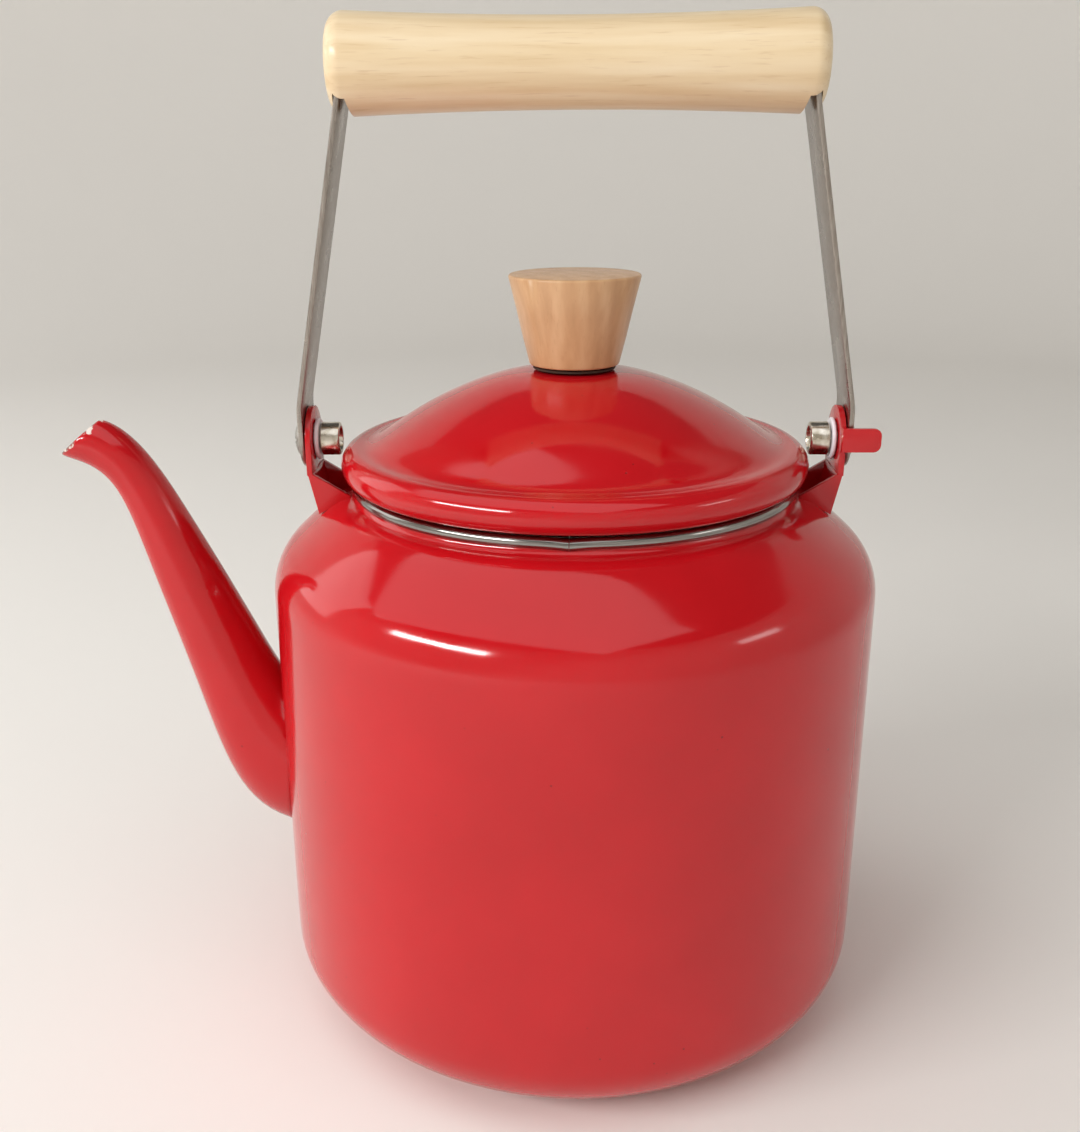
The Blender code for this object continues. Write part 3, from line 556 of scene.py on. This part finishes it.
knob = {"lowZ": 178.8, "topZ": 201.1, "lowR": 11.6, "topR": 16.7, "edge": 0.6, "boreR": 2.1,
        "boreZ": 192.3, "steps": 96, "chips": ((-128.0, 1.25), (-20.0, 1.0)),
        "chipShape": (0.7, 1.6, 0.9), "chipOut": 0.25}


def turnKnob():
    k = knob
    low = arcPoints((k["lowR"] - k["edge"], k["lowZ"] + k["edge"]), k["edge"], -90, 0, 3)
    top = arcPoints((k["topR"] - k["edge"], k["topZ"] - k["edge"]), k["edge"], 0, 90, 4)
    flank = [(k["lowR"] + (k["topR"] - k["lowR"]) * t, k["lowZ"] + (k["topZ"] - k["lowZ"]) * t)
             for t in (0.3, 0.6)]
    bore = [(0, k["boreZ"]), (k["boreR"], k["boreZ"]), (k["boreR"], k["lowZ"])]
    return spinProfile([*bore, *low, *flank, *top, (0, k["topZ"])], k["steps"])


handleKnob = makePiece("knobTurned", turnKnob(), [knobBeech], 35)
for turn, size in knob["chips"]:
    chip = bmesh.new()
    bmesh.ops.create_icosphere(chip, subdivisions=1, radius=size * mm)
    bmesh.ops.scale(chip, verts=chip.verts, vec=knob["chipShape"])
    bmesh.ops.translate(chip, verts=chip.verts,
                        vec=((knob["topR"] + knob["chipOut"]) * mm, 0, knob["topZ"] * mm))
    bmesh.ops.rotate(chip, verts=chip.verts, matrix=Matrix.Rotation(radians(turn), 3, "Z"))
    cutWith(handleKnob, chip)
settle(handleKnob, "lid", ["knob"])

gasket = {"inR": 2.4, "outR": 10.6, "lowZ": 177.7, "topZ": 178.5, "ease": (0.3, 0.2), "steps": 64}


def washerProfile(inR, outR, low, high, ease):
    # a flat ring whose outer edges are eased by (across, along)
    across, along = ease
    return [(inR, low), (outR - across, low), (outR, low + along), (outR, high - along),
            (outR - across, high), (inR, high)]


sealShape = washerProfile(gasket["inR"], gasket["outR"], gasket["lowZ"], gasket["topZ"],
                          gasket["ease"])
seal = makePiece("knobGasket", spinProfile(sealShape, gasket["steps"], closed=True), [fibre], 35)
settle(seal, "lid", ["knob_washer"])
for name in ("knob_screw", "knob_screw_washer"):
    cadNodes[name].data.materials.clear()
    cadNodes[name].data.materials.append(screwSteel)
print("knob")


# the pivots: a screw from outside, a nylon washer and a barrel nut inside

def slottedScrew(name, side, seat, shank, sizes):
    # seat is where the head rests; shank is the outline from there to the tip
    s = sizes
    dome = arcPoints((0.0, seat + s["headEdge"]), (s["headR"], s["headT"] - s["headEdge"]), 90, 0,
                     s["domeSteps"])
    bm = spinProfile([*dome, (s["headR"], seat), (s["screwR"], seat), *shank], s["steps"])
    layAlongX(bm, side, s["z"])
    screw = makePiece(name, bm, [screwSteel], 35)
    crown = seat + s["headT"]
    spanX = sorted((side * (crown - s["slotDepth"]), side * (crown + 1)))
    reach = s["headR"] + s["slotRun"]
    half = s["slotWidth"] / 2
    cutWith(screw, block((spanX[0], -reach, s["z"] - half), (spanX[1], reach, s["z"] + half)))
    return screw


# sink is how much wider than the bore the nut's recess is at its mouth, just inside and below
pivot = {"z": 159.3, "strapX": 71.1, "washerX": 67.5, "gap": 0.3, "steps": 48,
         "screwR": 2.4, "headR": 4.6, "headT": 2.1, "headEdge": 0.3, "domeSteps": 8,
         "tipEdge": 0.4, "slotWidth": 1.1, "slotDepth": 1.2, "slotRun": 1.4,
         "nutR": 4.3, "nutLength": 5.0, "nutChamfer": 0.35, "nutRound": 0.5, "nutSteps": 64,
         "boreGap": 0.1, "recess": 1.6, "sink": (0.75, 0.6, 0.45), "sinkLip": 0.2,
         "sinkFall": 0.1, "holeR": 2.7, "washerR": 5.4, "washerT": 1.0, "ease": (0.3, 0.3)}


def pivotShapes():
    p = pivot
    washerIn = p["washerX"] - p["washerT"]
    nutOut = washerIn - p["gap"]
    nutIn = nutOut - p["nutLength"]
    floorX = nutIn + p["recess"]
    shank = [(p["screwR"], floorX + p["tipEdge"]), (p["screwR"] - p["tipEdge"], floorX),
             (0.0, floorX)]
    nutR, chamfer, rounded = p["nutR"], p["nutChamfer"], p["nutRound"]
    bore = p["screwR"] + p["boreGap"]
    mouthWide, lipWide, floorWide = p["sink"]
    nut = [(nutR - chamfer, nutOut), (nutR, nutOut - chamfer), (nutR, nutIn + rounded),
           (nutR - 0.3 * rounded, nutIn + 0.3 * rounded), (nutR - rounded, nutIn),
           (bore + mouthWide, nutIn), (bore + lipWide, nutIn + p["sinkLip"]),
           (bore + floorWide, floorX), (bore, floorX + p["sinkFall"]), (bore, nutOut)]
    washer = washerProfile(p["holeR"], p["washerR"], washerIn, p["washerX"], p["ease"])
    return shank, nut, washer


shankShape, nutShape, washerShape = pivotShapes()
for side, word in ((-1, "left"), (1, "right")):
    title = word.title()
    screw = slottedScrew("pivotScrew" + title, side, pivot["strapX"], shankShape, pivot)
    settle(screw, "body", ["pivot_screw_" + word])
    turned = spinProfile(nutShape, pivot["nutSteps"], closed=True)
    layAlongX(turned, side, pivot["z"])
    nut = makePiece("barrelNut" + title, turned, [nickel], 35)
    settle(nut, "body", ["barrel_nut_" + word])
    turned = spinProfile(washerShape, pivot["nutSteps"], closed=True)
    layAlongX(turned, side, pivot["z"])
    washer = makePiece("nylonWasher" + title, turned, [nylon], 35)
    settle(washer, "body", ["pivot_washer_" + word])
print("pivots")


# the bail, modelled upright about its pivot and then leaned forward

bail = {"lean": 2.0, "strapX": 70.8, "sheet": 1.3, "half": 8.5, "footZ": 1.3, "bendZ": 9.6,
        "bendRun": 2.0, "cuts": (30, 50, 68), "top": (56.0, 83.5), "endZ": 93.5, "edge": 0.28}
# slotPlay and slotSplay are (outwards, inwards) from the strap
grip = {"z": 89.9, "half": 58.1, "endR": 11.5, "waistR": 10.2, "corner": 4.0, "cornerFrom": 9.0,
        "slotPlay": (0.4, 0.6), "slotSplay": (2.0, 3.4), "slotSide": 0.3, "slotTop": 1.0,
        "slotReach": 20.0, "wellR": 3.9, "wellEnd": 70.0, "seatSink": 0.8, "pilotR": 2.1}
gripScrew = {"z": grip["z"], "length": 18.0, "headR": 3.6, "headT": 1.3, "headEdge": 0.3,
             "lift": 0.3, "screwR": 1.8, "point": 3.0, "slotWidth": 0.9, "slotDepth": 0.7,
             "slotRun": 1.4, "domeSteps": 6, "steps": 40}
leanBail = (Matrix.Translation((0, 0, pivot["z"] * mm))
            @ Matrix.Rotation(radians(bail["lean"]), 4, "X"))


def strapInset(z):
    # how far the strap has leaned in at height z above the pivot
    b = bail
    reach, turnZ = b["strapX"] - b["top"][0], b["top"][1]
    slope = reach / (turnZ - b["bendZ"])
    if z < b["bendZ"] - b["bendRun"]:
        return 0.0
    if z < b["bendZ"] + b["bendRun"]:
        return slope * (z - b["bendZ"] + b["bendRun"]) ** 2 / (4 * b["bendRun"])
    if z < turnZ - b["bendRun"]:
        return slope * (z - b["bendZ"])
    if z < turnZ + b["bendRun"]:
        return reach - slope * (turnZ + b["bendRun"] - z) ** 2 / (4 * b["bendRun"])
    return reach


def foldStrap(side):
    b = bail
    foot = arcPoints((0.0, b["footZ"]), b["half"], 180, 360, 24)
    outline = [*foot, (b["half"], b["endZ"]), (-b["half"], b["endZ"])]
    bm = pushOutline([(0, y, z) for y, z in outline], (-b["sheet"], 0, 0))
    rims = [edge for edge in bm.edges if abs(edge.verts[0].co.x - edge.verts[1].co.x) < 1e-7]
    roundEdges(bm, rims, b["edge"], 2)
    bends = [z + b["bendRun"] * t for z in (b["bendZ"], b["top"][1]) for t in (-1, -0.5, 0, 0.5, 1)]
    for level in sorted([*bends, *b["cuts"]]):
        bmesh.ops.bisect_plane(bm, geom=bm.verts[:] + bm.edges[:] + bm.faces[:], dist=1e-7,
                               plane_co=(0, 0, level * mm), plane_no=(0, 0, 1))
    for vert in bm.verts:
        vert.co.x += (b["strapX"] - strapInset(vert.co.z / mm)) * mm
    if side < 0:
        bmesh.ops.scale(bm, verts=bm.verts, vec=(-1, 1, 1))
    bmesh.ops.recalc_face_normals(bm, faces=bm.faces)
    bmesh.ops.transform(bm, matrix=leanBail, verts=bm.verts)
    return bm


def turnGrip():
    g = grip
    reach = g["half"] - g["corner"]
    flank = [(g["waistR"] + (g["endR"] - g["waistR"]) * t * t, reach * t)
             for t in [i / 8 - 1 for i in range(17)]]
    last = arcPoints((g["endR"] - g["corner"], reach), g["corner"], g["cornerFrom"], 90, 8)
    first = [(r, -x) for r, x in last[::-1]]
    bm = spinProfile([(0, -g["half"]), *first, *flank, *last, (0, g["half"])], 96)
    layAlongX(bm, 1, g["z"])
    return bm


def gripSlot(side):
    # the strap's mouth: snug above, flared towards the middle of the grip below
    g = grip
    topX, turnZ = bail["top"]
    outside = topX + g["slotPlay"][0]
    inside = topX - bail["sheet"] - g["slotPlay"][1]
    lowZ, highZ = g["z"] - g["slotReach"], bail["endZ"] + g["slotTop"]
    half = bail["half"] + g["slotSide"]
    mouth = [(outside + g["slotSplay"][0], lowZ), (outside, turnZ), (outside, highZ),
             (inside, highZ), (inside, turnZ + 1), (inside - g["slotSplay"][1], lowZ)]
    bm = pushOutline([(side * x, -half, z) for x, z in mouth], (0, 2 * half, 0))
    bmesh.ops.recalc_face_normals(bm, faces=bm.faces)
    return bm


def gripBore(side):
    # a well for the screw's head and a pilot hole that ends 1 mm past its point
    g = grip
    tip = bail["top"][0] - gripScrew["length"] - 1
    seat = bail["top"][0] - g["seatSink"]
    bm = spinProfile([(0, tip), (g["pilotR"], tip), (g["pilotR"], seat), (g["wellR"], seat),
                      (g["wellR"], g["wellEnd"]), (0, g["wellEnd"])], 48)
    layAlongX(bm, side, g["z"])
    return bm


handle = makePiece("gripTurned", turnGrip(), [gripBeech])
for side in (-1, 1):
    cutWith(handle, gripBore(side))
    cutWith(handle, gripSlot(side))
handle.data.transform(leanBail)
handle.data.set_sharp_from_angle(angle=radians(35))
settle(handle, "bail", ["grip"])

for side, word in ((-1, "left"), (1, "right")):
    title = word.title()
    strap = makePiece("bailStrap" + title, foldStrap(side), [strapSteel], 30)
    settle(strap, "bail", ["bail_strap_" + word])
    tip = bail["top"][0] - gripScrew["length"]
    shank = [(gripScrew["screwR"], tip + gripScrew["point"]), (0.0, tip)]
    screw = slottedScrew("gripScrew" + title, side, bail["top"][0] + gripScrew["lift"], shank,
                         gripScrew)
    screw.data.transform(leanBail)
    settle(screw, "bail", ["grip_screw_" + word])
print("bail")


# a plain pale sweep, soft light and the camera

sweep = {"flat": 1.15, "curve": 0.5, "wall": 0.9, "drop": 0.0002, "tone": "#F4F1EC"}


def paperSweep():
    flat, curve = sweep["flat"] / mm, sweep["curve"] / mm
    rise = arcPoints((flat, curve), curve, -90, 0, 10)
    return spinProfile([(0, 0), *rise, (flat + curve, curve + sweep["wall"] / mm)], 96)


paper = newMaterial("mattPaper", Roughness=0.9, Base_Color=hexColour(sweep["tone"]))[0]
floor = makePiece("floor", paperSweep(), [paper])
floor.location.z = -sweep["drop"]

lights = ({"name": "keySoftbox", "at": (-0.92, -0.74, 0.74), "size": (0.85, 0.12), "power": 10.8},
          {"name": "leftBank", "at": (-1.15, 0.45, 0.66), "size": (0.60, 0.80), "power": 1.9},
          {"name": "rightStrip", "at": (1.00, -0.36, 0.55), "size": (0.34, 0.09), "power": 0.5},
          {"name": "topPanel", "at": (-0.25, -0.32, 1.28), "size": (2.2, 1.15), "power": 8.6})
aim = Vector((0, 0, 0.12))
for entry in lights:
    lamp = bpy.data.lights.new(entry["name"], "AREA")
    lamp.shape = "RECTANGLE"
    lamp.size, lamp.size_y = entry["size"]
    lamp.energy = entry["power"]
    holder = bpy.data.objects.new(entry["name"], lamp)
    holder.location = entry["at"]
    holder.rotation_euler = (aim - Vector(entry["at"])).to_track_quat("-Z", "Y").to_euler()
    bpy.context.scene.collection.objects.link(holder)

room = {"tone": "#F4F1EC", "strength": 0.11}
world = bpy.data.worlds.new("softRoom")
world.use_nodes = True
background = world.node_tree.nodes["Background"]
background.inputs["Color"].default_value = hexColour(room["tone"])
background.inputs["Strength"].default_value = room["strength"]
bpy.context.scene.world = world

view = {"at": (-0.003087, -0.323876, 0.233076), "pitch": 0.370, "yaw": -0.024, "roll": -0.006,
        "lens": 39.83, "sensor": 36.0, "shift": (0.00565, 0.0498), "near": 0.01}
ahead = Vector((sin(view["yaw"]) * cos(view["pitch"]), cos(view["yaw"]) * cos(view["pitch"]),
                -sin(view["pitch"])))
rightward = Vector((cos(view["yaw"]), -sin(view["yaw"]), 0))
upward = rightward.cross(ahead)
tiltedRight = cos(view["roll"]) * rightward + sin(view["roll"]) * upward
tiltedUp = cos(view["roll"]) * upward - sin(view["roll"]) * rightward
lens = bpy.data.cameras.new("viewCamera")
lens.lens = view["lens"]
lens.sensor_width = view["sensor"]
lens.shift_x, lens.shift_y = view["shift"]
lens.clip_start = view["near"]
camera = bpy.data.objects.new("viewCamera", lens)
camera.matrix_world = (Matrix.Translation(view["at"])
                       @ Matrix((tiltedRight, tiltedUp, -ahead)).transposed().to_4x4())
bpy.context.scene.collection.objects.link(camera)
bpy.context.scene.camera = camera
bpy.context.scene.view_settings.view_transform = "Standard"
print("stage")
